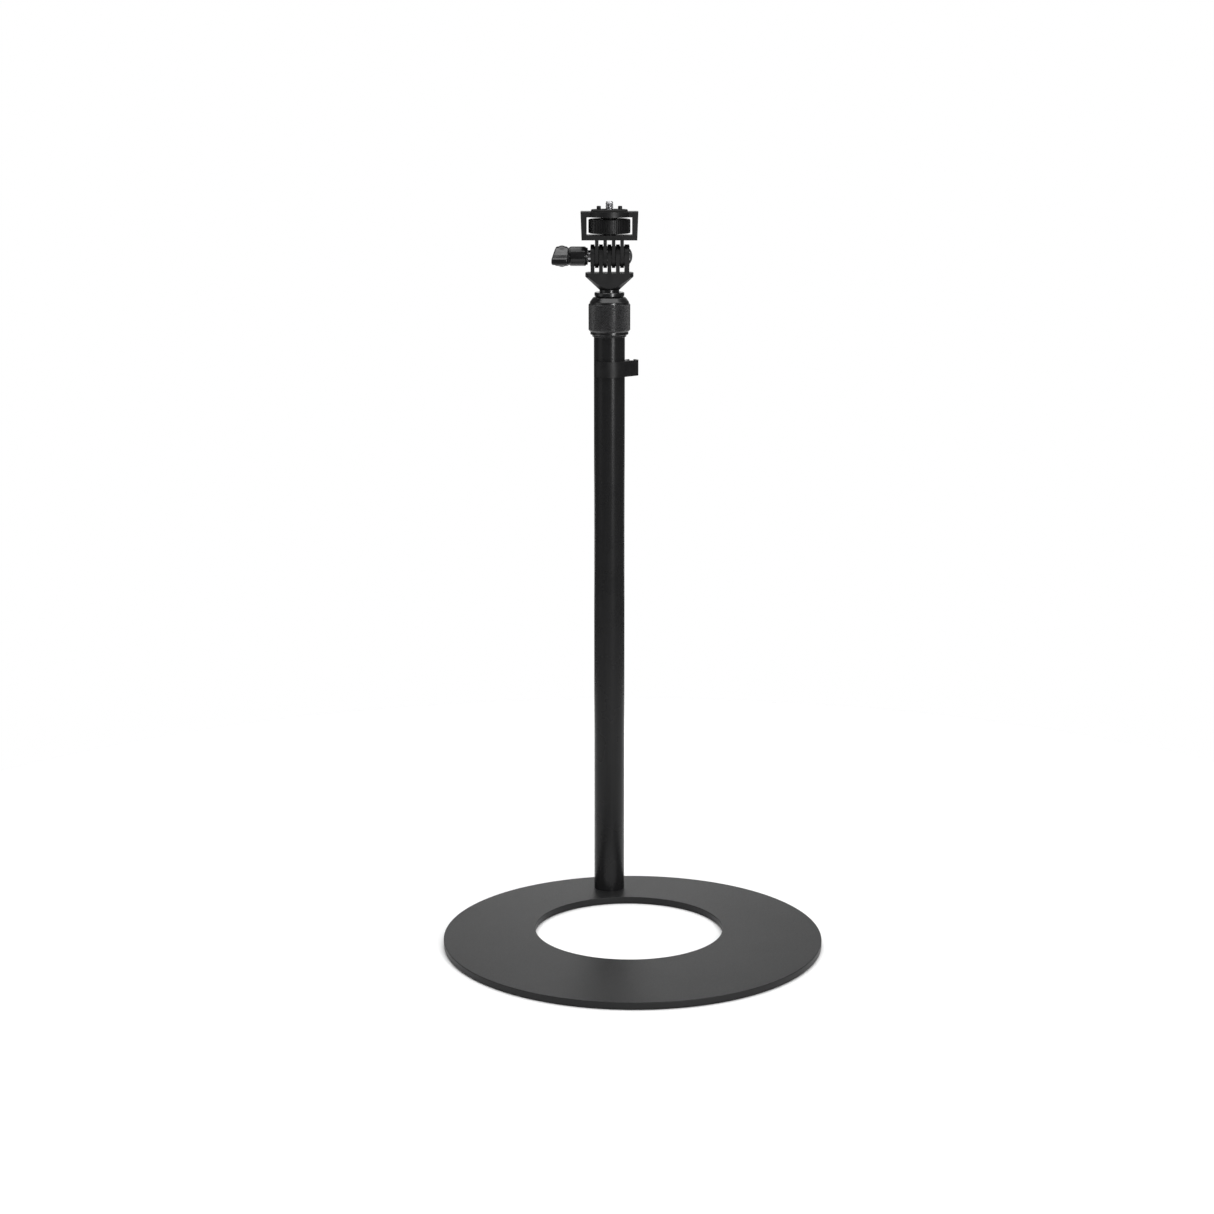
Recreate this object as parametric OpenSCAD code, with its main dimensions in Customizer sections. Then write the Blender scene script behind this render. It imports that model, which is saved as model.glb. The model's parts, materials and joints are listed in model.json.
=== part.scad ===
// Table stand for a camera or other small device: a ring-shaped steel foot, a telescopic
// post with a knurled clamp collar, and a finger-joint tilt head with a captive 1/4 inch screw.
// Units are millimetres. The origin is the centre of the foot, on the surface it stands on.

/* [Foot] */
// Outer diameter of the foot ring
foot_d = 300; // [260:1:340]
// Diameter of the hole through the foot
foot_hole_d = 150; // [120:1:160]
// Distance of the hole's centre from the foot's centre, towards the post
foot_hole_shift = 18; // [0:1:20]
// Thickness of the steel ring
foot_plate_t = 5; // [4:0.5:8]
// Thickness of the rubber underlay
foot_pad_t = 1; // [0.8:0.1:2]
// Turn of the foot about the vertical, relative to the head
foot_turn = 8.7; // [-45:0.1:45]

/* [Post] */
// Outside diameter of the fixed tube
tube_d = 25; // [24:0.5:25]
// Wall of the fixed tube
tube_wall = 1.5; // [1.5:0.1:2]
// Top of the fixed tube above the table
tube_top = 488; // [486:0.5:488]
// Outside diameter of the telescopic rod
rod_d = 19; // [18:0.5:19]
// Wall of the telescopic rod
rod_wall = 1.5; // [1:0.1:2]
// Bottom end of the rod when it is pushed right in
rod_bottom = 60; // [50:1:120]
// Middle height of the cable clip
clip_z = 444.3; // [60:0.1:460]

/* [Collar] */
// Diameter over the knurl
collar_d = 33.6; // [32:0.1:36]
// Bottom face of the collar
collar_bottom = 469.8; // [469:0.1:470]
// Top face of the collar
collar_top = 501.9; // [501:0.1:502]

/* [Head] */
// Height of the tilt axis
pivot_z = 534; // [533:0.5:540]
// Radius of the round finger ends
finger_r = 9.35; // [8:0.05:9.5]
// Distance between neighbouring fingers of one part
finger_pitch = 6.75; // [6.5:0.05:8]
// Thickness of a lower finger
lower_finger_t = 3.05; // [2.8:0.05:3.2]
// Thickness of an upper finger
upper_finger_t = 2.8; // [2:0.05:2.9]
// Gap between the raised bosses of neighbouring fingers
finger_gap = 0.02; // [0.02:0.01:0.3]
// Radius of the round rim under the fingers
rim_r = 19.3; // [18:0.1:22]
// Width of the device bracket at its top
bracket_w = 46; // [44:0.5:50]
// Diameter of the finger wheel in the bracket
wheel_d = 33.6; // [30:0.1:34]
// Diameter of the round platform on the bracket
platform_d = 36; // [34:0.5:40]
// Diameter of the rubber disc on the platform
disc_d = 29.4; // [24:0.1:34]

/* [Hidden] */
$fn = 96;
eps = 0.01;      // overlap that makes a cut go right through
slack = 0.05;    // radial clearance of a part that stays put
running = 0.1;   // radial clearance of a part that turns or slides

// Foot and post
foot_top = foot_pad_t + foot_plate_t;
edge_break = 0.4;                       // chamfer on the ring's edges
pad_inset = 1.2;                        // the underlay stops this far inside the steel
post_shift = (foot_hole_shift + foot_hole_d / 2 + foot_d / 2) / 2;  // middle of the rear band
post_x = -post_shift * sin(foot_turn);
post_y = post_shift * cos(foot_turn);
tube_r = tube_d / 2;
tube_bore_r = tube_r - tube_wall;
rod_r = rod_d / 2;
rod_bore_r = rod_r - rod_wall;
plug_h = 30;
guide_h = 22;
cap_h = 4;                              // head of the rod's end cap
cap_plug_h = 10;
screw_r = 3.95;                         // M8
screw_hole_r = 4.2;
screw_head_r = 8;
screw_head_h = screw_head_r - screw_r;
screw_recess_r = 11;                    // hole in the underlay round the screw head
screw_h = 28;
hex_d = 5.8;                            // across the corners of the driver socket
hex_h = 3;

// Collar and what it clamps
bush_r = 14.4;
bush_h = 14;
collet_r = 13.2;
collet_h = 9.4;
lip_r = 13.7;
shoulder_r = 15.3;
bead_r = 15.75;
knurl_bottom = collar_bottom + 5.3;
knurl_top = collar_bottom + 26.1;

// Neck
flange_r = 12;
flange_bottom = collar_top + 0.3;
flange_top = flange_bottom + 3.2;
neck_r = 7.9;
neck_top = flange_top + 2;
adapter_h = 30;                         // how far the adapter reaches into the rod
adapter_bottom = flange_bottom - adapter_h;
stud_r = 4.7;                           // 3/8 inch
stud_h = 10;

// Tilt joint, measured from the tilt axis
rim_top = pivot_z - 13;
rim_h = 3.2;
bracket_bottom = pivot_z + 13;
boss_r = finger_r - 1.3;                        // raised boss on each side of a finger
lower_boss_t = finger_pitch / 2 - finger_gap;   // thickness over the bosses
upper_boss_t = finger_pitch / 2 - finger_gap;
bolt_r = 3;                             // M6
bolt_hole_r = bolt_r + running;
bolt_end_x = -29;
through = 30;                           // half the length of a cut right across the head
lower_first_x = -2 * finger_pitch;
// inner face of the thick finger that holds the bolt head
nut_finger_x = 1.5 * finger_pitch + upper_boss_t / 2 + finger_gap;
nut_finger_t = 4.25;
bolt_head_r = 5.8;
bolt_head_h = 2.3;
bolt_dome_r = 10;
washer_r = 4.9;
washer_x = lower_first_x - lower_boss_t / 2;
washer_t = 2;
knob_face_x = washer_x - washer_t - 0.1;
knob_flange_r = 6.9;
knob_flange_t = 1.6;
knob_hub_r = 7.8;
knob_end_x = -44.6;
knob_ball_x = -35;                      // the rounded end is widest from here outwards
knob_ball_r = 8.65;
lever_span = 22;                        // from the axis to the tip
lever_corner = 2.2;
lever_tip_t = 4.8;
lever_root_t = 14.6;
lever_root_y = 3.5;                     // where the thick middle ends
lever_in_x = -32.2;                     // edge towards the head
lever_out_x = -46.2;                    // outer edge at the tip
lever_mid_x = -43;                      // outer edge at the hub
lever_turn = 9;                         // the lever hangs this far below level
insert_r = 4.6;
insert_end_x = -30.5;

// Bracket, measured from the table
bracket_top = bracket_bottom + 22.4;
bracket_half_depth = 9.5;
bracket_taper = 0.8;                    // each side leans in this much towards the bottom
window_half_w = 18.25;
window_bottom = bracket_bottom + 3.8;
window_top = bracket_top - 4.3;
disc_t = 1.6;
disc_top = bracket_top + disc_t;
wheel_bottom = window_bottom + 1.3;
wheel_top = window_top - 1.5;
axial_gap = 0.15;                       // between the wheel's bosses and the bracket
thread_r = 3.175;                       // 1/4 inch
thread_h = 6;
thread_lead_in = 0.5;
shank_r = 2.6;
pivot_pin_r = 2.4;
pivot_pin_h = 2.4;
twist_pin_r = 1.7;
twist_stub_r = 1.4;
twist_pin_x = 8.5;
twist_pin_h = 2.8;
twist_pin_depth = 3;

// Places its children on the post's axis.
module at_post() {
    translate([post_x, post_y, 0]) children();
}

// A cylinder along X from x0 to x1, on the tilt axis.
module bar_x(r, x0, x1) {
    translate([post_x + x0, post_y, pivot_z]) rotate([0, 90, 0]) cylinder(r = r, h = x1 - x0);
}

// A tube from z0 to z1.
module tube(r_out, r_in, z0, z1) {
    difference() {
        translate([0, 0, z0]) cylinder(r = r_out, h = z1 - z0);
        translate([0, 0, z0 - eps]) cylinder(r = r_in, h = z1 - z0 + 2 * eps);
    }
}

// Outline of the foot at a distance inside its edges.
module foot_outline(inset) {
    difference() {
        circle(r = foot_d / 2 - inset, $fn = 180);
        rotate(foot_turn) translate([0, foot_hole_shift])
            circle(r = foot_hole_d / 2 + inset, $fn = 180);
    }
}

module base_plate() {
    color([0.1, 0.1, 0.1]) difference() {
        union() {
            translate([0, 0, foot_pad_t]) linear_extrude(foot_plate_t - edge_break) foot_outline(0);
            translate([0, 0, foot_top - edge_break]) difference() {
                cylinder(r1 = foot_d / 2, r2 = foot_d / 2 - edge_break, h = edge_break, $fn = 180);
                rotate(foot_turn) translate([0, foot_hole_shift, -eps])
                    cylinder(r1 = foot_hole_d / 2, r2 = foot_hole_d / 2 + edge_break,
                        h = edge_break + 2 * eps, $fn = 180);
            }
        }
        at_post() {
            translate([0, 0, foot_pad_t - eps]) cylinder(r = screw_hole_r, h = foot_plate_t + 1);
            translate([0, 0, foot_pad_t - eps])
                cylinder(r1 = screw_head_r + 0.25, r2 = screw_hole_r, h = screw_head_h + 0.1);
        }
    }
}

module base_pad() {
    color([0.04, 0.04, 0.04]) difference() {
        linear_extrude(foot_pad_t) foot_outline(pad_inset);
        at_post() translate([0, 0, -eps]) cylinder(r = screw_recess_r, h = foot_pad_t + 2 * eps);
    }
}

module post_screw() {
    color([0.5, 0.5, 0.52]) at_post() difference() {
        union() {
            translate([0, 0, foot_pad_t]) cylinder(r1 = screw_head_r, r2 = screw_r, h = screw_head_h);
            translate([0, 0, foot_pad_t]) cylinder(r = screw_r, h = screw_h);
        }
        translate([0, 0, foot_pad_t - eps]) cylinder(d = hex_d, h = hex_h, $fn = 6);
    }
}

module foot_plug() {
    color([0.45, 0.45, 0.47]) at_post()
        tube(tube_bore_r - slack, screw_r + slack, foot_top, foot_top + plug_h);
}

module post_tube() {
    color([0.08, 0.08, 0.08]) at_post() tube(tube_r, tube_bore_r, foot_top, tube_top);
}

module tube_bush() {
    color([0.55, 0.55, 0.56]) at_post()
        tube(bush_r, tube_r + slack, tube_top - bush_h, tube_top - slack);
}

module clamp_collet() {
    color([0.85, 0.84, 0.8]) at_post() difference() {
        rotate_extrude() polygon([
            [rod_r + running, tube_top + slack],
            [collet_r, tube_top + slack],
            [collet_r, tube_top + 2],
            [collet_r - 2, tube_top + collet_h],
            [rod_r + running, tube_top + collet_h]]);
        translate([0, -0.6, tube_top - 1]) cube([collet_r + 1, 1.2, collet_h + 2]);
    }
}

module lock_collar() {
    cone_bottom = tube_top + 2.2;
    cone_top = tube_top + collet_h + 0.3;
    color([0.07, 0.07, 0.07]) at_post() rotate_extrude() polygon([
        [tube_r + running, collar_bottom],
        [lip_r, collar_bottom],
        [lip_r, collar_bottom + 1.5],
        [shoulder_r, collar_bottom + 1.9],
        [shoulder_r, knurl_bottom - 1.2],
        [collar_d / 2, knurl_bottom],
        [collar_d / 2, knurl_top],
        [bead_r, knurl_top + 0.5],
        [bead_r, knurl_top + 1.8],
        [bead_r - 1.3, knurl_top + 3.5],
        [bead_r - 2.6, collar_top - 0.7],
        [flange_r - 0.3, collar_top],
        [rod_r + 0.4, collar_top],
        [rod_r + 0.4, cone_top],
        [collet_r - 1.8, cone_top],
        [collet_r + 0.25, cone_bottom],
        [bush_r + running, cone_bottom],
        [bush_r + running, tube_top - bush_h - 0.5],
        [tube_r + running, tube_top - bush_h - 0.5]]);
}

// Spring clip: a C round the tube, and a smaller open loop beside it that holds a cable.
module cable_clip() {
    h = 12.5;
    wall = 1.8;
    inner_r = tube_r + running;
    outer_r = inner_r + wall;
    loop_x = 17.9;
    loop_y = 5;
    loop_r = 5.6;
    loop_bore_r = 3.9;
    web_turn = atan2(loop_y, loop_x) + asin((outer_r - loop_r) / norm([loop_x, loop_y]));
    web_length = sqrt(loop_x ^ 2 + loop_y ^ 2 - (outer_r - loop_r) ^ 2);
    sink = 0.15;    // the web's face lies this far inside both rounds
    color([0.09, 0.09, 0.09]) at_post() translate([0, 0, clip_z - h / 2]) difference() {
        union() {
            cylinder(r = outer_r, h = h);
            translate([loop_x, loop_y, 0]) cylinder(r = loop_r, h = h);
            // web across the front, from one round to the other
            rotate(web_turn) translate([0, sink - outer_r, 0]) cube([web_length, wall - sink, h]);
        }
        translate([0, 0, -eps]) cylinder(r = inner_r, h = h + 2 * eps);
        translate([loop_x, loop_y, -eps]) cylinder(r = loop_bore_r, h = h + 2 * eps);
        // mouth of the C, on the left and behind
        translate([0, 0, -eps]) linear_extrude(h + 2 * eps)
            polygon([[0, 0], [-30, -18.5], [-30, 30], [8, 30]]);
        // mouth of the cable loop, behind it
        translate([loop_x - 1.6, loop_y, -eps]) cube([3.2, 10, h + 2 * eps]);
    }
}

module extension_rod() {
    color([0.1, 0.1, 0.1]) at_post() tube(rod_r, rod_bore_r, rod_bottom, flange_bottom);
}

module rod_guide() {
    color([0.15, 0.15, 0.15]) at_post()
        tube(tube_bore_r - running, rod_r + running, rod_bottom + 0.3, rod_bottom + guide_h);
}

// Spring ring on the rod that keeps the guide from riding up.
module guide_ring() {
    ring_bottom = rod_bottom + guide_h + 0.3;
    color([0.5, 0.5, 0.52]) at_post()
        tube(tube_bore_r - 0.4, rod_r + slack, ring_bottom, ring_bottom + 1.5);
}

module rod_end_cap() {
    color([0.15, 0.15, 0.15]) at_post() {
        translate([0, 0, rod_bottom - cap_h]) cylinder(r = tube_bore_r - 0.4, h = cap_h);
        translate([0, 0, rod_bottom - eps]) cylinder(r = rod_bore_r - slack, h = cap_plug_h);
    }
}

module neck_adapter() {
    bevel = 0.5;
    color([0.08, 0.08, 0.08]) at_post() rotate_extrude() polygon([
        [0, adapter_bottom],
        [rod_bore_r - slack, adapter_bottom],
        [rod_bore_r - slack, flange_bottom],
        [flange_r - bevel, flange_bottom],
        [flange_r, flange_bottom + bevel],
        [flange_r, flange_top - bevel],
        [flange_r - bevel, flange_top],
        [neck_r, flange_top],
        [neck_r, neck_top],
        [stud_r, neck_top],
        [stud_r, neck_top + stud_h],
        [0, neck_top + stud_h]]);
}

// One finger of the tilt joint, centred at x: a round end on the axis with a raised boss on both
// sides, and a shank that runs to the height z_root.
module finger(x, boss_t, shank_t, z_root) {
    bar_x(boss_r, x - boss_t / 2, x + boss_t / 2);
    bar_x(finger_r, x - shank_t / 2, x + shank_t / 2);
    translate([post_x + x - shank_t / 2, post_y - finger_r, min(z_root, pivot_z)])
        cube([shank_t, 2 * finger_r, abs(z_root - pivot_z)]);
}

module head_base() {
    rim_bottom = rim_top - rim_h;
    color([0.09, 0.09, 0.09]) difference() {
        union() {
            // a cone with a rim, cut flat in front and behind
            intersection() {
                at_post() rotate_extrude() polygon([
                    [0, neck_top],
                    [neck_r + 0.2, neck_top],
                    [rim_r, rim_bottom],
                    [rim_r, rim_top],
                    [0, rim_top]]);
                translate([post_x - 30, post_y - bracket_half_depth, neck_top - 1])
                    cube([60, 2 * bracket_half_depth, rim_top - neck_top + 2]);
            }
            for (i = [0:3])
                finger(lower_first_x + i * finger_pitch, lower_boss_t, lower_finger_t, rim_top - 1);
            finger(nut_finger_x + nut_finger_t / 2, nut_finger_t, nut_finger_t - 0.4, rim_top - 1);
        }
        bar_x(bolt_hole_r, -through, through);
        at_post() translate([0, 0, neck_top - eps]) cylinder(r = stud_r + slack, h = stud_h + 0.3);
    }
}

module hinge_bolt() {
    head_x = nut_finger_x + nut_finger_t;
    // domed head, an arc of radius bolt_dome_r
    dome_turn = asin(bolt_head_r / bolt_dome_r);
    color([0.7, 0.7, 0.72]) translate([post_x, post_y, pivot_z]) rotate([0, 90, 0])
        rotate_extrude() polygon([
            [0, bolt_end_x],
            [bolt_r, bolt_end_x],
            [bolt_r, head_x],
            [bolt_head_r, head_x],
            for (a = [dome_turn:-dome_turn / 8:0])
                [bolt_dome_r * sin(a), head_x + bolt_head_h + bolt_dome_r * (cos(a) - 1)]]);
}

module hinge_washer() {
    color([0.75, 0.75, 0.77]) difference() {
        bar_x(washer_r, washer_x - washer_t, washer_x);
        bar_x(bolt_r + slack, washer_x - washer_t - eps, washer_x + eps);
    }
}

// The knob's lever, level and reaching forwards: thick at the hub, thin and wide at its tip.
module knob_lever() {
    intersection() {
        translate([0, 0, -10]) linear_extrude(20) polygon([
            [lever_in_x, 0],
            [lever_in_x, lever_corner - lever_span],
            [lever_in_x - lever_corner, -lever_span],
            [lever_out_x + lever_corner, -lever_span],
            [lever_out_x, lever_corner - lever_span],
            [lever_mid_x, 0]]);
        rotate([90, 0, -90]) linear_extrude(60) polygon([
            [0, -lever_root_t / 2],
            [lever_root_y, -lever_root_t / 2],
            [lever_span + 1, -lever_tip_t / 2],
            [lever_span + 1, lever_tip_t / 2],
            [lever_root_y, lever_root_t / 2],
            [0, lever_root_t / 2]]);
    }
}

module thumb_knob() {
    color([0.07, 0.07, 0.07]) difference() {
        translate([post_x, post_y, pivot_z]) {
            // flange, hub and rounded end, turned about the tilt axis
            rotate([0, 90, 0]) rotate_extrude() polygon([
                [0, knob_face_x],
                [0, knob_end_x],
                [knob_ball_r - 3.5, knob_end_x],
                [knob_ball_r - 1, knob_end_x + 1.3],
                [knob_ball_r, knob_end_x + 3.8],
                [knob_ball_r, knob_ball_x],
                [knob_hub_r, knob_ball_x + 2.5],
                [knob_hub_r, knob_face_x - knob_flange_t],
                [knob_flange_r, knob_face_x - knob_flange_t],
                [knob_flange_r, knob_face_x]]);
            rotate([lever_turn, 0, 0]) knob_lever();
        }
        bar_x(insert_r, insert_end_x, knob_face_x + eps);
    }
}

module knob_insert() {
    color([0.72, 0.6, 0.3]) difference() {
        bar_x(insert_r - slack, insert_end_x, knob_face_x);
        bar_x(bolt_hole_r, insert_end_x + 1, knob_face_x + eps);
    }
}

module camera_bracket() {
    color([0.1, 0.1, 0.1]) difference() {
        union() {
            translate([post_x, post_y + bracket_half_depth, 0]) rotate([90, 0, 0])
                linear_extrude(2 * bracket_half_depth) difference() {
                    polygon([
                        [-bracket_w / 2, bracket_top],
                        [bracket_w / 2, bracket_top],
                        [bracket_w / 2 - bracket_taper, bracket_bottom],
                        [bracket_taper - bracket_w / 2, bracket_bottom]]);
                    translate([-window_half_w, window_bottom])
                        square([2 * window_half_w, window_top - window_bottom]);
                }
            at_post() translate([0, 0, window_top])
                cylinder(d = platform_d, h = bracket_top - window_top);
            for (i = [-1.5:1:1.5])
                finger(i * finger_pitch, upper_boss_t, upper_finger_t, bracket_bottom + 1);
        }
        bar_x(bolt_hole_r, -through, through);
        at_post() {
            translate([0, 0, window_top - 1]) cylinder(r = thread_r + 0.2, h = 10);
            translate([0, 0, window_bottom - pivot_pin_h - 0.2])
                cylinder(r = pivot_pin_r + running, h = 5);
            for (side = [-1, 1])
                translate([side * twist_pin_x, 0, bracket_top - twist_pin_depth])
                    cylinder(r = twist_stub_r + slack, h = 10);
        }
    }
}

module platform_pad() {
    color([0.04, 0.04, 0.04]) at_post() difference() {
        translate([0, 0, bracket_top]) cylinder(d = disc_d, h = disc_t);
        translate([0, 0, bracket_top - 1]) cylinder(r = thread_r + 0.3, h = 5);
        for (side = [-1, 1])
            translate([side * twist_pin_x, 0, bracket_top - 1])
                cylinder(r = twist_pin_r + slack, h = 5);
    }
}

module anti_twist_pins() {
    color([0.06, 0.06, 0.06]) at_post() for (side = [-1, 1])
        translate([side * twist_pin_x, 0, 0]) rotate_extrude() polygon([
            [0, bracket_top - twist_pin_depth],
            [twist_stub_r, bracket_top - twist_pin_depth],
            [twist_stub_r, disc_top],
            [twist_pin_r, disc_top],
            [twist_pin_r, disc_top + twist_pin_h],
            [0, disc_top + twist_pin_h]]);
}

module thumb_wheel() {
    bevel = 0.8;
    wheel_r = wheel_d / 2;
    hub_r = 5;
    color([0.06, 0.06, 0.06]) at_post() rotate_extrude() polygon([
        [thread_r + slack, window_bottom + axial_gap],
        [hub_r, window_bottom + axial_gap],
        [hub_r, wheel_bottom],
        [wheel_r - bevel, wheel_bottom],
        [wheel_r, wheel_bottom + bevel],
        [wheel_r, wheel_top - bevel],
        [wheel_r - bevel, wheel_top],
        [hub_r, wheel_top],
        [hub_r, window_top - axial_gap],
        [thread_r + slack, window_top - axial_gap]]);
}

module camera_screw() {
    thread_top = disc_top + thread_h;
    color([0.75, 0.75, 0.77]) at_post() rotate_extrude() polygon([
        [0, window_bottom - pivot_pin_h],
        [pivot_pin_r, window_bottom - pivot_pin_h],
        [pivot_pin_r, wheel_bottom],
        [thread_r, wheel_bottom],
        [thread_r, wheel_top],
        [shank_r, wheel_top],
        [shank_r, disc_top],
        [thread_r, disc_top],
        [thread_r, thread_top],
        [thread_r - thread_lead_in, thread_top + thread_lead_in],
        [0, thread_top + thread_lead_in]]);
}

base_plate();
base_pad();
post_screw();
foot_plug();
post_tube();
tube_bush();
clamp_collet();
lock_collar();
cable_clip();
extension_rod();
rod_guide();
guide_ring();
rod_end_cap();
neck_adapter();
head_base();
hinge_bolt();
hinge_washer();
thumb_knob();
knob_insert();
camera_bracket();
platform_pad();
anti_twist_pins();
thumb_wheel();
camera_screw();
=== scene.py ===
"""A black table stand for a camera: ring foot, telescopic post, knurled collar and tilt head."""

import json
import math

import bmesh
import bpy
from mathutils import Matrix, Vector

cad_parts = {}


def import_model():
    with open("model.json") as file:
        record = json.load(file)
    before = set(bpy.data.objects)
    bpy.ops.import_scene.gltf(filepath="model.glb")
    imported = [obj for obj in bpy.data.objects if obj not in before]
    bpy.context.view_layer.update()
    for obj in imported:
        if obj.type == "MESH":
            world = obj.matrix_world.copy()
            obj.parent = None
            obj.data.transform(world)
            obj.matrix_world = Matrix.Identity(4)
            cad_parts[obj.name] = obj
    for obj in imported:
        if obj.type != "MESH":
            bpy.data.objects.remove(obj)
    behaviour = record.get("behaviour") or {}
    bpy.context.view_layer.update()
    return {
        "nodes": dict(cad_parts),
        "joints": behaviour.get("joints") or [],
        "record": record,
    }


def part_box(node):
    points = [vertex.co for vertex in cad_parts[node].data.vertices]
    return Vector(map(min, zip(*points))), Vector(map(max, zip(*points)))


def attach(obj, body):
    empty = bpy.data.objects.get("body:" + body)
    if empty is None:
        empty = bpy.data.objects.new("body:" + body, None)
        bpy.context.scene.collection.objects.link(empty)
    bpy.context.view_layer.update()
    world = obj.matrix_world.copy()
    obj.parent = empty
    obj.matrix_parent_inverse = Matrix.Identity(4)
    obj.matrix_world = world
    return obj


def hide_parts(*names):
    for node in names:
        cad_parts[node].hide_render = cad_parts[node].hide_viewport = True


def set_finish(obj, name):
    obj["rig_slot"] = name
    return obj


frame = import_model()

MM = 0.001
TAU = 2 * math.pi


def joint(name):
    """The record's joint of that name."""
    return next(j for j in frame["joints"] if j["name"] == name)


def middle(node):
    """Centre of a CAD node's box."""
    low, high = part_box(node)
    return (low + high) / 2


POST = Vector((middle("post_tube").x, middle("post_tube").y, 0))
PIVOT = Vector(joint("tilt")["pos_m"])
hole_low, hole_high = (Vector(corner) for corner in frame["record"]["physics"]["openings"][0]["box_m"])
HOLE_CENTRE = Vector(((hole_low.x + hole_high.x) / 2, (hole_low.y + hole_high.y) / 2, 0))
HOLE_R = 75 * MM  # of the steel ring; the underlay's hole is wider


# ---------------------------------------------------------------- meshes


def new_object(name, vertices, faces, body, slot, replaces=(), smooth_angle=35):
    """A mesh object that rides on a CAD body, smooth-shaded below the given edge angle."""
    mesh = bpy.data.meshes.new(name)
    mesh.from_pydata([tuple(v) for v in vertices], [], faces)
    mesh.update()
    tidy = bmesh.new()
    tidy.from_mesh(mesh)
    bmesh.ops.recalc_face_normals(tidy, faces=tidy.faces)
    tidy.to_mesh(mesh)
    tidy.free()
    piece = bpy.data.objects.new(name, mesh)
    bpy.context.scene.collection.objects.link(piece)
    mesh.shade_smooth()
    mesh.set_sharp_from_angle(angle=math.radians(smooth_angle))
    weigh_normals(piece)
    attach(piece, body)
    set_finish(piece, slot)
    if replaces:
        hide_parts(*replaces)
    return piece


def weigh_normals(piece):
    """Large faces keep their own shading, so that only the rounded edges curve."""
    weigh = piece.modifiers.new("normals", "WEIGHTED_NORMAL")
    weigh.keep_sharp = True
    weigh.weight = 80


def closed_grid(rows):
    """Vertices and faces of a torus-like grid: rows of equal length, closed both ways."""
    count, width = len(rows), len(rows[0])
    vertices = [v for row in rows for v in row]
    faces = [
        (i * width + j, i * width + (j + 1) % width,
         (i + 1) % count * width + (j + 1) % width, (i + 1) % count * width + j)
        for i in range(count) for j in range(width)
    ]
    return vertices, faces


def capped_grid(rows):
    """Vertices and faces of a grid of closed rows, with a flat cap over the first and the last row."""
    count, width = len(rows), len(rows[0])
    vertices = [v for row in rows for v in row]
    faces = [
        (i * width + j, i * width + (j + 1) % width,
         (i + 1) * width + (j + 1) % width, (i + 1) * width + j)
        for i in range(count - 1) for j in range(width)
    ]
    faces.append(tuple(reversed(range(width))))
    faces.append(tuple(range((count - 1) * width, count * width)))
    return vertices, faces


def turned(r, angle, z):
    """The point at that radius, angle and height about the Z axis."""
    return Vector((r * math.cos(angle), r * math.sin(angle), z))


def rounded(points, radius, steps=4, closed=True):
    """A profile whose corners are rounded by arcs that reach at most radius along each side."""
    out = []
    count = len(points)
    for i, point in enumerate(points):
        if not closed and i in (0, count - 1):
            out.append(tuple(point))
            continue
        here = Vector(point)
        before, after = Vector(points[i - 1]), Vector(points[(i + 1) % count])
        reach = min(radius, (here - before).length * 0.45, (after - here).length * 0.45)
        start = here + (before - here).normalized() * reach
        end = here + (after - here).normalized() * reach
        for k in range(steps + 1):
            t = k / steps
            out.append(tuple(start * (1 - t) ** 2 + here * 2 * t * (1 - t) + end * t * t))
    return out


def lathe(profile, segments, centre, turn=Matrix.Identity(4)):
    """A ring-shaped solid: a closed profile of (radius, height) turned about an axis."""
    place = Matrix.Translation(centre) @ turn
    rows = [[place @ turned(r, TAU * i / segments, z) for r, z in profile] for i in range(segments)]
    return closed_grid(rows)


def solid_lathe(profile, segments, centre, turn=Matrix.Identity(4)):
    """A solid of revolution: an open profile of (radius, height) whose two ends are capped."""
    place = Matrix.Translation(centre) @ turn
    rows = [[place @ turned(r, TAU * i / segments, z) for i in range(segments)] for r, z in profile]
    return capped_grid(rows)


# ---------------------------------------------------------------- materials


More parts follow.
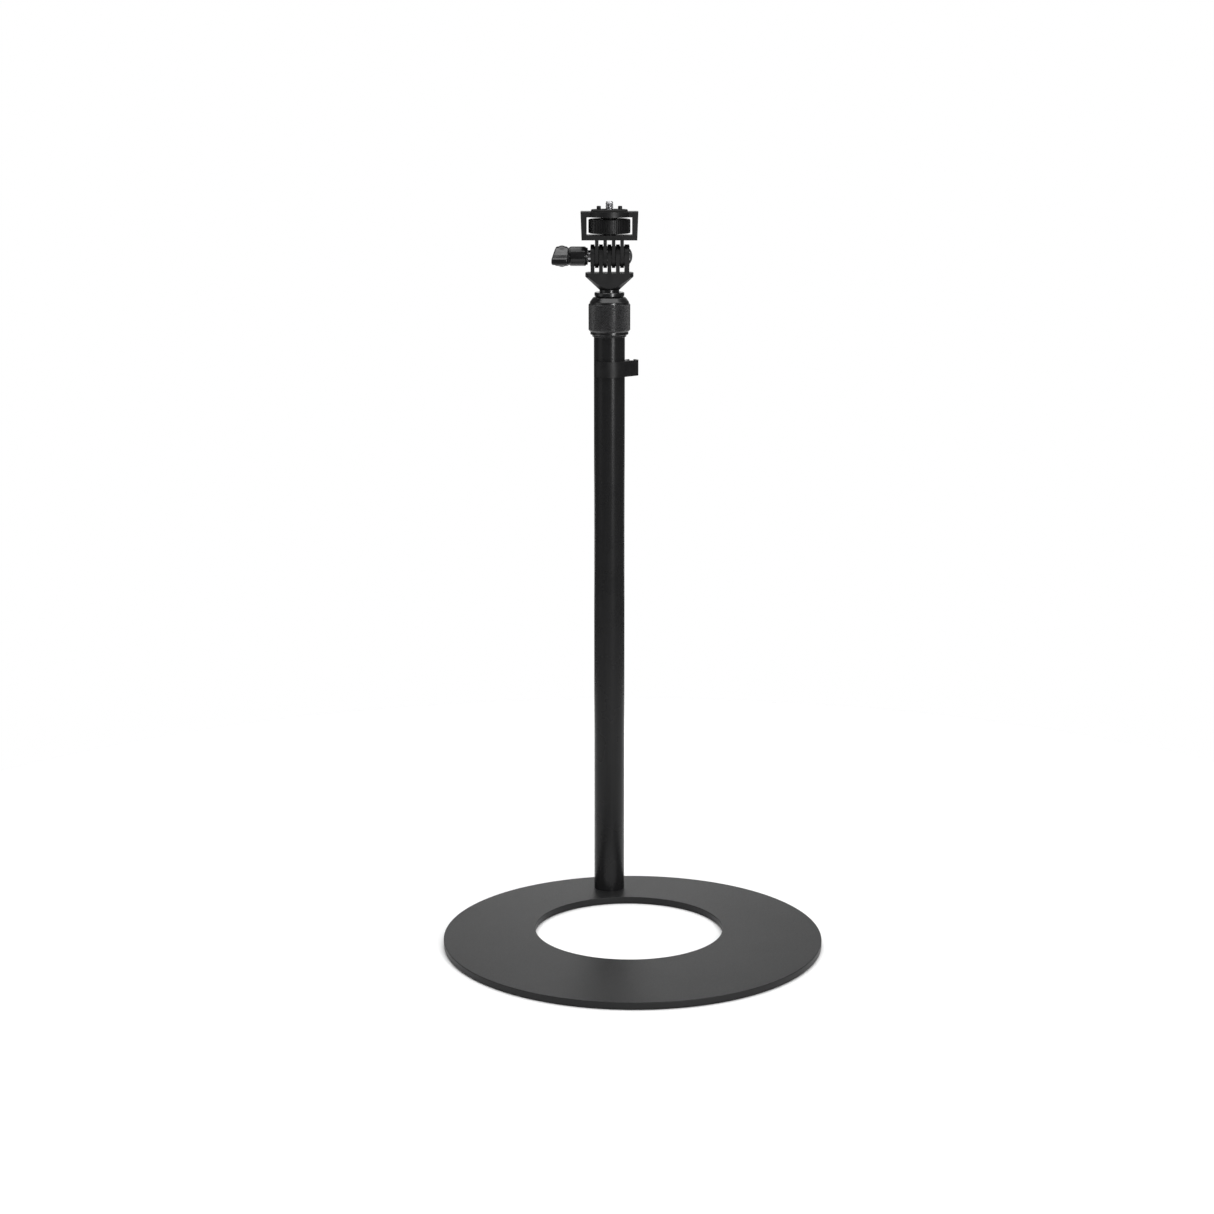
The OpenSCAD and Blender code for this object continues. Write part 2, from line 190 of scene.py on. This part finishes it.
class Nodes:
    """A material's node tree, with a short way to add and link nodes."""

    def __init__(self, name):
        self.material = bpy.data.materials.new(name)
        self.material.use_nodes = True
        self.tree = self.material.node_tree
        self.shader = self.tree.nodes["Principled BSDF"]
        self.place = self.tree.nodes.new("ShaderNodeTexCoord").outputs["Object"]

    def add(self, kind, inputs=None, **settings):
        node = self.tree.nodes.new(kind)
        for key, value in settings.items():
            setattr(node, key, value)
        for key, value in (inputs or {}).items():
            if isinstance(value, bpy.types.NodeSocket):
                self.tree.links.new(value, node.inputs[key])
            else:
                node.inputs[key].default_value = value
        return node

    def noise(self, size, detail=4.0, stretch=(1, 1, 1), roughness=0.55):
        """Noise whose features are about size metres across."""
        mapped = self.add("ShaderNodeMapping", {"Vector": self.place, "Scale": stretch})
        return self.add(
            "ShaderNodeTexNoise",
            {"Vector": mapped.outputs[0], "Scale": 1 / size, "Detail": detail, "Roughness": roughness},
        ).outputs["Fac"]

    def ramp(self, value, low, high, start=0.3, end=0.7):
        """Maps a 0 to 1 value onto low to high."""
        return self.add(
            "ShaderNodeMapRange",
            {"Value": value, "From Min": start, "From Max": end, "To Min": low, "To Max": high},
        ).outputs[0]

    def blend(self, factor, first, second):
        mix = self.add("ShaderNodeMix", data_type="RGBA")
        self.tree.links.new(factor, mix.inputs["Factor"])
        for socket, value in (("A", first), ("B", second)):
            target = next(s for s in mix.inputs if s.name == socket and s.type == "RGBA")
            if isinstance(value, bpy.types.NodeSocket):
                self.tree.links.new(value, target)
            else:
                target.default_value = (*value, 1)
        return next(s for s in mix.outputs if s.type == "RGBA")

    def bump(self, height, distance, strength=1.0, normal=None):
        node = self.add("ShaderNodeBump", {"Height": height, "Distance": distance, "Strength": strength})
        if normal is not None:
            self.tree.links.new(normal, node.inputs["Normal"])
        return node.outputs["Normal"]

    def worn_edges(self, reach, bare=0.42):
        """1 on edges, within reach metres of them and broken up by noise above bare, and 0 elsewhere."""
        softened = self.add("ShaderNodeBevel", {"Radius": reach}, samples=4).outputs[0]
        plain = self.add("ShaderNodeNewGeometry").outputs["Normal"]
        facing = self.add("ShaderNodeVectorMath", {0: softened, 1: plain}, operation="DOT_PRODUCT")
        edge = self.ramp(facing.outputs["Value"], 1, 0, 0.86, 0.98)
        patches = self.ramp(self.noise(4 * MM, 3), 0, 1, bare, bare + 0.28)
        return self.add("ShaderNodeMath", {0: edge, 1: patches}, operation="MULTIPLY").outputs[0]

    def finish(self, colour, roughness, normal=None, **constants):
        """Sets the shader's inputs and gives back the material."""
        for socket, value in (("Base Color", colour), ("Roughness", roughness), ("Normal", normal)):
            if isinstance(value, bpy.types.NodeSocket):
                self.tree.links.new(value, self.shader.inputs[socket])
            elif value is not None:
                self.shader.inputs[socket].default_value = value
        for socket, value in constants.items():
            self.shader.inputs[socket.replace("_", " ")].default_value = value
        return self.material


def powder_coat():
    """Fine-grained black powder coat, a little cloudy, on the steel foot."""
    n = Nodes("powder_coat")
    cloud = n.noise(60 * MM, 3)
    grain = n.noise(0.45 * MM, 2)
    colour = n.blend(n.ramp(cloud, 0, 1), (0.009, 0.009, 0.0094), (0.013, 0.013, 0.0134))
    colour = n.blend(n.worn_edges(0.3 * MM), colour, (0.05, 0.05, 0.05))
    roughness = n.ramp(grain, 0.40, 0.52)
    normal = n.bump(grain, 0.02 * MM, 0.5, n.bump(n.noise(3 * MM, 2), 0.01 * MM, 0.3))
    return n.finish(colour, roughness, normal, Specular_IOR_Level=0.22)


def satin_tube():
    """Smooth satin black on the drawn tube, with faint lengthwise draw marks."""
    n = Nodes("satin_tube")
    marks = n.noise(0.5 * MM, 3, (1, 1, 0.01))
    grain = n.noise(0.3 * MM, 2)
    colour = n.blend(n.ramp(marks, 0, 1), (0.011, 0.011, 0.0114), (0.014, 0.014, 0.0145))
    roughness = n.ramp(n.noise(25 * MM, 3), 0.24, 0.32)
    normal = n.bump(marks, 0.012 * MM, 0.4, n.bump(grain, 0.01 * MM, 0.3))
    return n.finish(colour, roughness, normal, Specular_IOR_Level=0.18)


def anodised():
    """Black anodised aluminium: a satin sheen, paler where the knurl's edges are rubbed."""
    n = Nodes("anodised")
    turning = n.noise(0.35 * MM, 2, (0.05, 0.05, 1))
    colour = n.blend(n.ramp(n.noise(8 * MM, 3), 0, 1), (0.006, 0.006, 0.0065), (0.011, 0.011, 0.0115))
    colour = n.blend(n.worn_edges(0.14 * MM, 0.15), colour, (0.14, 0.14, 0.145))
    roughness = n.ramp(turning, 0.20, 0.30)
    normal = n.bump(turning, 0.01 * MM, 0.5)
    return n.finish(colour, roughness, normal, Metallic=0.1, Specular_IOR_Level=0.55)


def moulded():
    """Black glass-filled nylon with the fine spark-eroded grain of its mould."""
    n = Nodes("moulded")
    grain = n.add(
        "ShaderNodeTexVoronoi", {"Vector": n.place, "Scale": 1 / (0.28 * MM)}, feature="F1"
    ).outputs["Distance"]
    cloud = n.noise(7 * MM, 4)
    colour = n.blend(n.ramp(cloud, 0, 1), (0.007, 0.007, 0.0074), (0.010, 0.010, 0.0104))
    colour = n.blend(n.worn_edges(0.2 * MM), colour, (0.04, 0.04, 0.04))
    roughness = n.ramp(cloud, 0.38, 0.48)
    normal = n.bump(grain, 0.012 * MM, 0.5, n.bump(n.noise(2 * MM, 3), 0.01 * MM, 0.3))
    return n.finish(colour, roughness, normal, Specular_IOR_Level=0.26)


def gloss_knob():
    """Polished black plastic, with slight mould waviness and finger smears."""
    n = Nodes("gloss_knob")
    smear = n.noise(5 * MM, 5, (1, 0.4, 1))
    colour = n.blend(n.ramp(smear, 0, 1), (0.008, 0.008, 0.0085), (0.011, 0.011, 0.0115))
    roughness = n.ramp(smear, 0.13, 0.27)
    normal = n.bump(n.noise(3 * MM, 2), 0.03 * MM, 0.35)
    return n.finish(colour, roughness, normal, Specular_IOR_Level=0.3)


def rubber():
    """Matt black rubber with a pebbled skin."""
    n = Nodes("rubber")
    pebbles = n.add(
        "ShaderNodeTexVoronoi", {"Vector": n.place, "Scale": 1 / (0.5 * MM)}, feature="SMOOTH_F1"
    ).outputs["Distance"]
    colour = n.blend(n.ramp(n.noise(10 * MM, 4), 0, 1), (0.010, 0.010, 0.010), (0.018, 0.018, 0.018))
    normal = n.bump(pebbles, 0.05 * MM, 0.5)
    return n.finish(colour, n.ramp(pebbles, 0.7, 0.9, 0, 0.6), normal, Specular_IOR_Level=0.3)


def metal(name, dark, light, rough_low, rough_high, stretch=(1, 1, 0.06)):
    """A bare or plated metal with fine machining marks and faint staining."""
    n = Nodes(name)
    marks = n.noise(0.25 * MM, 2, stretch)
    stain = n.noise(3 * MM, 4)
    colour = n.blend(n.ramp(stain, 0, 1), dark, light)
    roughness = n.ramp(marks, rough_low, rough_high)
    return n.finish(colour, roughness, n.bump(marks, 0.008 * MM, 0.5), Metallic=1.0)


def nylon():
    """Natural nylon, slightly translucent."""
    n = Nodes("nylon")
    cloud = n.noise(4 * MM, 3)
    colour = n.blend(n.ramp(cloud, 0, 1), (0.70, 0.69, 0.64), (0.80, 0.79, 0.75))
    normal = n.bump(n.noise(0.4 * MM, 2), 0.02 * MM, 0.4)
    return n.finish(colour, n.ramp(cloud, 0.42, 0.55), normal, Subsurface_Weight=0.1)


MATERIALS = {
    "powder_coat": powder_coat(),
    "tube_coat": satin_tube(),
    "anodised_collar": anodised(),
    "moulded_plastic": moulded(),
    "gloss_knob": gloss_knob(),
    "rubber": rubber(),
    "bright_steel": metal("bright_steel", (0.34, 0.34, 0.35), (0.45, 0.45, 0.46), 0.16, 0.3),
    "zinc_steel": metal("zinc_steel", (0.42, 0.43, 0.45), (0.55, 0.55, 0.56), 0.28, 0.42),
    "bare_aluminium": metal("bare_aluminium", (0.56, 0.56, 0.57), (0.66, 0.66, 0.67), 0.25, 0.4),
    "white_nylon": nylon(),
    "brass": metal("brass", (0.62, 0.45, 0.20), (0.76, 0.58, 0.30), 0.22, 0.36),
}


# ---------------------------------------------------------------- detailed pieces


def flat_run(start, end, z):
    """Points along a flat face of the foot, a millimetre in from each end and evenly between."""
    step = math.copysign(MM, end - start)
    inner, outer = start + step, end - 2 * step
    return [(inner + (outer - inner) * k / 4, z) for k in range(5)]


def foot_ring(name, node, inset, edge, slot):
    """The foot's ring, with its off-centre hole widened by inset: a section with rounded edges swept round."""
    low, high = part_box(node)
    outer_r = (high.x - low.x) / 2
    height = high.z - low.z
    segments = 360
    rows = []
    for i in range(segments):
        angle = TAU * i / segments
        out_point = turned(outer_r, angle, 0)
        in_point = HOLE_CENTRE + turned(HOLE_R + inset, angle, 0)
        span = (out_point - in_point).length
        across = (out_point - in_point).normalized()
        corners = rounded([(0, 0), (span, 0), (span, height), (0, height)], edge, 4)
        # loops close to the rounded edges keep the flat faces flat in shading
        section = corners[:5] + flat_run(edge, span, 0) + corners[5:15]
        section += flat_run(span - edge, 0, height) + corners[15:]
        rows.append([in_point + across * s + Vector((0, 0, low.z + z)) for s, z in section])
    vertices, faces = closed_grid(rows)
    return new_object(name, vertices, faces, "stand", slot, [node], 40)


def collar():
    """The clamp collar with a cut diamond knurl between its plain shoulders."""
    low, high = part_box("lock_collar")
    knurl_r = (high.x - low.x) / 2
    # the knurl's two ends, above the collar's foot
    knurl_low, knurl_high = low.z + 5.3 * MM, low.z + 26.1 * MM
    depth = 0.42 * MM
    around, tall = 52, 10       # diamonds round the collar and up it
    cells = 6                   # mesh cells across one diamond
    flank = 1.6                 # cells from the bottom of a groove to the flat top
    columns, rows_up = around * cells, tall * cells
    # (radius, height above the collar's foot), in millimetres
    below = [(12.62, 0), (13.7, 0), (13.7, 1.5), (15.3, 1.9), (15.3, 4.1)]
    above = [(15.75, 26.6), (15.75, 27.9), (14.45, 29.6), (13.15, 31.4), (11.7, 32.1), (9.92, 32.1)]

    def ring(r, z):
        return [POST + turned(r, TAU * j / columns, z) for j in range(columns)]

    def from_groove(cell):
        """Cells to the nearest groove of one of the two families."""
        return min(cell % cells, -cell % cells)

    def knurl(i, j):
        """Radius of the knurl: flat-topped diamonds between two families of crossing grooves."""
        if i in (0, rows_up):
            return knurl_r - depth
        rise = min(1.0, from_groove(i + j) / flank, from_groove(i - j) / flank)
        return knurl_r - depth * (1 - rise)

    rows = [ring(r * MM, low.z + z * MM) for r, z in rounded(below, 0.5, 3, closed=False)]
    rows.append(ring(knurl_r - depth - 0.25 * MM, knurl_low - 0.45 * MM))
    first = len(rows)
    for i in range(rows_up + 1):
        z = knurl_low + (knurl_high - knurl_low) * i / rows_up
        rows.append([POST + turned(knurl(i, j), TAU * j / columns, z) for j in range(columns)])
    last = len(rows) - 1
    rows.append(ring(knurl_r - depth - 0.1 * MM, knurl_high + 0.4 * MM))
    rows += [ring(r * MM, low.z + z * MM) for r, z in rounded(above, 0.6, 3, closed=False)]
    # the cavity round the collet and the bush, from the top down
    cavity = [(9.92, 27.9), (11.4, 27.9), (13.45, 20.4), (14.5, 20.4), (14.5, 3.7), (12.62, 3.7)]
    rows += [ring(r * MM, low.z + z * MM) for r, z in cavity]
    count = len(rows)
    vertices = [v for row in rows for v in row]
    faces = []
    for i in range(count):
        up = (i + 1) % count
        for j in range(columns):
            right = (j + 1) % columns
            a, b = i * columns + j, i * columns + right
            c, d = up * columns + right, up * columns + j
            if not first <= i < last:
                faces.append((a, b, c, d))
            elif from_groove(i - first - j) < from_groove(i - first + j + 1):
                faces += [(a, b, c), (a, c, d)]
            else:
                faces += [(a, b, d), (b, c, d)]
    return new_object("collar_knurled", vertices, faces, "collar", "anodised_collar", ["lock_collar"], 24)


def finger_wheel():
    """The wheel under the camera screw, with fine ribs round its rim."""
    low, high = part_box("thumb_wheel")
    wheel_r = (high.x - low.x) / 2
    ribs, depth = 60, 0.7 * MM
    shape = [0, 0, 1, 1, 1, 0]
    segments = ribs * len(shape)
    boss_r, bore_r = 5 * MM, 3.26 * MM
    rim_low, rim_high = low.z + 1.15 * MM, high.z - 1.35 * MM
    bevel = 0.8 * MM
    dish_r, dish = 12.5 * MM, 0.7 * MM
    # (radius, height, how much of the rib shows there)
    section = [
        (bore_r, low.z, 0), (boss_r, low.z, 0), (boss_r, rim_low + dish, 0), (dish_r, rim_low + dish, 0),
        (dish_r + dish, rim_low, 0), (wheel_r - bevel - depth, rim_low, 0),
        (wheel_r - 0.35 * bevel, rim_low + 0.45 * bevel, 0.5), (wheel_r, rim_low + 1.1 * bevel, 1),
        (wheel_r, rim_high - 1.1 * bevel, 1), (wheel_r - 0.35 * bevel, rim_high - 0.45 * bevel, 0.5),
        (wheel_r - bevel - depth, rim_high, 0), (dish_r + dish, rim_high, 0),
        (dish_r, rim_high - dish, 0), (boss_r, rim_high - dish, 0), (boss_r, high.z, 0), (bore_r, high.z, 0),
    ]
    rows = []
    for i in range(segments):
        groove = 1 - shape[i % len(shape)]
        rows.append([
            POST + turned(r - groove * depth * part, TAU * i / segments, z) for r, z, part in section
        ])
    vertices, faces = closed_grid(rows)
    return new_object("finger_wheel", vertices, faces, "screw", "moulded_plastic", ["thumb_wheel"], 30)


def threaded_screw():
    """The camera screw with its rolled 20 turns an inch thread and a turned-down shank."""
    low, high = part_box("camera_screw")
    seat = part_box("platform_pad")[1].z
    thread_r, root_r, shank_r = 3.175 * MM, 2.55 * MM, 2.6 * MM
    pitch = 25.4 / 20 * MM
    segments, steps = 48, 10

    def radius(angle, z, start, end):
        phase = ((z - start) / pitch - angle / TAU) % 1
        crest = 1 - abs(2 * phase - 1)
        height = min(1.0, max(0.0, (crest - 0.12) / 0.72))
        fade = min(1.0, (z - start) / (0.5 * pitch) + 0.02, (end - z) / (0.9 * pitch))
        return root_r + (thread_r - root_r) * height * max(0.0, fade)

    def ring(r, z):
        return [POST + turned(r, TAU * j / segments, z) for j in range(segments)]

    wheel_low, wheel_high = (corner.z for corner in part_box("thumb_wheel"))
    pivot_r, hub_r = 2.4 * MM, 3.1 * MM
    rows = [ring(2.2 * MM, low.z), ring(pivot_r, low.z + 0.25 * MM), ring(pivot_r, wheel_low)]
    rows += [ring(hub_r, wheel_low), ring(hub_r, wheel_high)]
    rows += [ring(shank_r, wheel_high), ring(shank_r, seat - 0.6 * MM)]
    start, end = seat - 0.4 * MM, high.z - 0.35 * MM
    count = round((end - start) / pitch * steps)
    for i in range(count + 1):
        z = start + (end - start) * i / count
        rows.append([
            POST + turned(radius(TAU * j / segments, z, start, end), TAU * j / segments, z)
            for j in range(segments)
        ])
    rows += [ring(2.3 * MM, high.z - 0.1 * MM), ring(2.0 * MM, high.z), ring(0.8 * MM, high.z)]
    vertices, faces = capped_grid(rows)
    return new_object("screw_threaded", vertices, faces, "screw", "bright_steel", ["camera_screw"], 40)


def lever_knob():
    """The clamp knob: a hub, a rounded end and a tapering lever that flows into it."""
    hub_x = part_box("thumb_knob")[1].x - PIVOT.x
    lean = math.radians(9)

    def add(vertices, faces):
        corners = [mesh.verts.new(v) for v in vertices]
        for face in faces:
            mesh.faces.new([corners[k] for k in face])

    def add_turned(profile, shape=solid_lathe):
        add(*shape(profile, 64, Vector((0, 0, 0)), Matrix.Rotation(math.pi / 2, 4, "Y")))

    def add_lever():
        # sections across the lever: (y, inner x, outer x, half height), in millimetres
        sections = [
            (-21.8, -34.2, -44.4, 1.5), (-21.4, -33.2, -45.5, 2.3), (-19.5, -32.6, -46.1, 2.8),
            (-14, -32.4, -45.4, 4.0), (-8, -32.4, -44.5, 5.7), (-3, -32.4, -43.6, 7.3),
            (1, -33.0, -43.0, 7.8), (4, -34.0, -42.4, 6.4)]
        rows = []
        for y, inner, outer, half in sections:
            outline = rounded([(inner, -half), (outer, -half), (outer, half), (inner, half)], 1.6, 5)
            rows.append([Matrix.Rotation(lean, 4, "X") @ (Vector((x, y, z)) * MM) for x, z in outline])
        add(*capped_grid(rows))

    mesh = bmesh.new()
    hub_end = hub_x / MM
    # a hollow front that holds the insert, and a solid core behind it
    hollow = [(4.62, hub_end), (6.6, hub_end), (6.85, hub_end - 0.3), (6.85, hub_end - 1.6),
              (7.4, hub_end - 1.6), (7.75, hub_end - 2.1), (7.75, -31.0), (4.62, -31.0)]
    core = [(7.7, -30.6), (7.75, -31.0), (6.6, -32.6), (6.6, -40)]
    add_turned([(r * MM, z * MM) for r, z in hollow], lathe)
    add_turned([(r * MM, z * MM) for r, z in core])
    ball_x, ball_r, flat = -38.0, 8.6, 0.75
    arc = [math.pi * k / 24 for k in range(1, 24)]
    add_turned([(ball_r * math.sin(a) * MM, (ball_x + flat * ball_r * math.cos(a)) * MM) for a in arc])
    add_lever()
    bmesh.ops.recalc_face_normals(mesh, faces=mesh.faces)
    data = bpy.data.meshes.new("knob_lever")
    mesh.to_mesh(data)
    mesh.free()
    piece = bpy.data.objects.new("knob_lever", data)
    bpy.context.scene.collection.objects.link(piece)
    piece.matrix_world = Matrix.Translation(PIVOT)
    remesh = piece.modifiers.new("join", "REMESH")
    remesh.mode, remesh.voxel_size, remesh.use_smooth_shade = "VOXEL", 0.32 * MM, True
    soften = piece.modifiers.new("soften", "SMOOTH")
    soften.factor, soften.iterations = 0.5, 12
    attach(piece, "knob")
    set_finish(piece, "gloss_knob")
    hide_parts("thumb_knob")
    return piece


def pin(name, side):
    """One alignment pin with a rounded tip."""
    low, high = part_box("anti_twist_pins")
    r = (high.y - low.y) / 2
    x = (low.x if side < 0 else high.x) - side * r
    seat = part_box("platform_pad")[1].z
    stub_r, tip_r = 1.4 * MM, 0.6 * MM
    profile = [(stub_r * 0.9, low.z), (stub_r, low.z + 0.2 * MM), (stub_r, seat), (r, seat),
               (r, high.z - 0.75 * MM)]
    tip = [(r - tip_r * (1 - math.cos(a)), high.z - tip_r * (1 - math.sin(a)))
           for a in [math.pi / 2 * k / 6 for k in range(7)]]
    vertices, faces = solid_lathe(profile + tip + [(r * 0.3, high.z)], 40, (x, POST.y, 0))
    return new_object(name, vertices, faces, "bracket", "moulded_plastic", [], 40)


def platform_disc():
    """The rubber disc on the platform, with concentric grip rings and a hole for the screw."""
    low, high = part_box("platform_pad")
    disc_r = (high.x - low.x) / 2
    rings, groove = 7, 0.28 * MM
    inner_r = 3.5 * MM
    top = [(inner_r, high.z)]
    step = (disc_r - 0.6 * MM - inner_r) / (2 * rings)
    for k in range(rings):
        a = inner_r + (2 * k + 0.6) * step
        top += [(a, high.z), (a + 0.25 * step, high.z - groove), (a + 0.75 * step, high.z - groove),
                (a + step, high.z)]
    top += [(disc_r - 0.4 * MM, high.z), (disc_r, high.z - 0.4 * MM), (disc_r, low.z), (inner_r, low.z)]
    vertices, faces = lathe(top, 128, POST)
    return new_object("platform_disc", vertices, faces, "bracket", "rubber", ["platform_pad"], 25)


pieces = [
    foot_ring("foot_ring", "base_plate", 0, 0.55 * MM, "powder_coat"),
    foot_ring("foot_underlay", "base_pad", 1.2 * MM, 0.2 * MM, "rubber"),
    collar(),
    finger_wheel(),
    threaded_screw(),
    lever_knob(),
    platform_disc(),
    pin("alignment_pin_left", -1),
    pin("alignment_pin_right", 1),
]
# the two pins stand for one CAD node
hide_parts("anti_twist_pins")
for piece in pieces:
    piece.data.materials.append(MATERIALS[piece["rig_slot"]])

# CAD nodes keep their shapes: a material each, and a small bevel on those listed
BEVELS = {
    "head_base": 0.2, "camera_bracket": 0.25, "cable_clip": 0.25, "hinge_washer": 0.2, "neck_adapter": 0.2,
    "hinge_bolt": 0.15, "post_tube": 0.2, "extension_rod": 0.3, "rod_end_cap": 0.4, "foot_plug": 0.3,
    "rod_guide": 0.2, "knob_insert": 0.2, "tube_bush": 0.2, "clamp_collet": 0.2,
}
slots = {s["node"]: s["material_slot"] for s in frame["record"]["subparts"]}
for node, obj in frame["nodes"].items():
    obj.data.materials.clear()
    obj.data.materials.append(MATERIALS[slots[node]])
    if node in BEVELS:
        bevel = obj.modifiers.new("edges", "BEVEL")
        bevel.width, bevel.segments = BEVELS[node] * MM, 3
        bevel.limit_method, bevel.angle_limit = "ANGLE", math.radians(32)
        weigh_normals(obj)


# ---------------------------------------------------------------- studio


def stage_material():
    """Pale paper with a barely visible tooth."""
    n = Nodes("paper")
    cloud = n.noise(0.4, 2)
    colour = n.blend(n.ramp(cloud, 0, 1), (0.90, 0.90, 0.90), (0.93, 0.93, 0.93))
    return n.finish(colour, 0.9, n.bump(n.noise(1 * MM, 2), 0.05 * MM, 0.2), Specular_IOR_Level=0.1)


def floor():
    """A round pale floor."""
    radius, sides = 0.8, 96
    mesh = bpy.data.meshes.new("pale_floor")
    mesh.from_pydata([turned(radius, TAU * k / sides, 0) for k in range(sides)], [], [tuple(range(sides))])
    mesh.materials.append(stage_material())
    sweep = bpy.data.objects.new("pale_floor", mesh)
    bpy.context.scene.collection.objects.link(sweep)


def softbox(name, place, target, size, power):
    """A rectangular area light that faces the target."""
    light = bpy.data.lights.new(name, "AREA")
    light.shape = "RECTANGLE"
    light.size, light.size_y = size
    light.energy = power
    lamp = bpy.data.objects.new(name, light)
    lamp.location = place
    lamp.rotation_euler = (Vector(target) - Vector(place)).to_track_quat("-Z", "Y").to_euler()
    lamp.visible_camera = False
    bpy.context.scene.collection.objects.link(lamp)


def camera():
    """The camera stands in front and looks a little down at the stand."""
    data = bpy.data.cameras.new("camera")
    data.lens, data.sensor_width = 72.57, 36
    data.clip_end = 50
    eye = bpy.data.objects.new("camera", data)
    eye.location = (-0.0203, -1.854, 0.660)
    eye.rotation_euler = (math.radians(90 - 11.81), 0, 0)
    bpy.context.scene.collection.objects.link(eye)
    bpy.context.scene.camera = eye


def world():
    """White behind the stand, and a dim room in its reflections."""
    sky = bpy.data.worlds.new("studio")
    sky.use_nodes = True
    tree = sky.node_tree
    room = tree.nodes["Background"]
    room.inputs["Strength"].default_value = 0.12
    room.inputs["Color"].default_value = (1, 1, 1, 1)
    white = tree.nodes.new("ShaderNodeBackground")
    white.inputs["Color"].default_value = (1, 1, 1, 1)
    seen = tree.nodes.new("ShaderNodeLightPath")
    mix = tree.nodes.new("ShaderNodeMixShader")
    tree.links.new(seen.outputs["Is Camera Ray"], mix.inputs[0])
    tree.links.new(room.outputs[0], mix.inputs[1])
    tree.links.new(white.outputs[0], mix.inputs[2])
    tree.links.new(mix.outputs[0], tree.nodes["World Output"].inputs["Surface"])
    bpy.context.scene.world = sky
    bpy.context.scene.view_settings.view_transform = "Standard"


camera()
world()
floor()
softbox("overhead", (0.0, 0.3, 2.6), (0, 0.3, 0), (3.0, 3.0), 84)
softbox("back", (0.2, 3.0, 1.6), (0, 0.1, 0.1), (2.6, 0.8), 4)
softbox("rear_strip", (-0.02, 1.7, 0.55), (0, 0.1, 0.4), (0.35, 0.5), 0.6)
softbox("low_back", (-0.05, 0.7, 0.2), (-0.02, 0.12, 0), (0.8, 0.14), 0.5)
softbox("left", (-1.9, -0.5, 0.9), (0, 0.1, 0.35), (1.2, 1.6), 5.5)
softbox("upper_left", (-1.3, -0.9, 1.9), (0, 0.1, 0.5), (0.7, 0.7), 2)
softbox("upper_right", (1.6, -0.2, 1.7), (0, 0.1, 0.5), (0.5, 0.9), 4)
softbox("right_strip", (0.66, -1.33, 0.58), (0, 0.1, 0.5), (0.3, 0.6), 13)
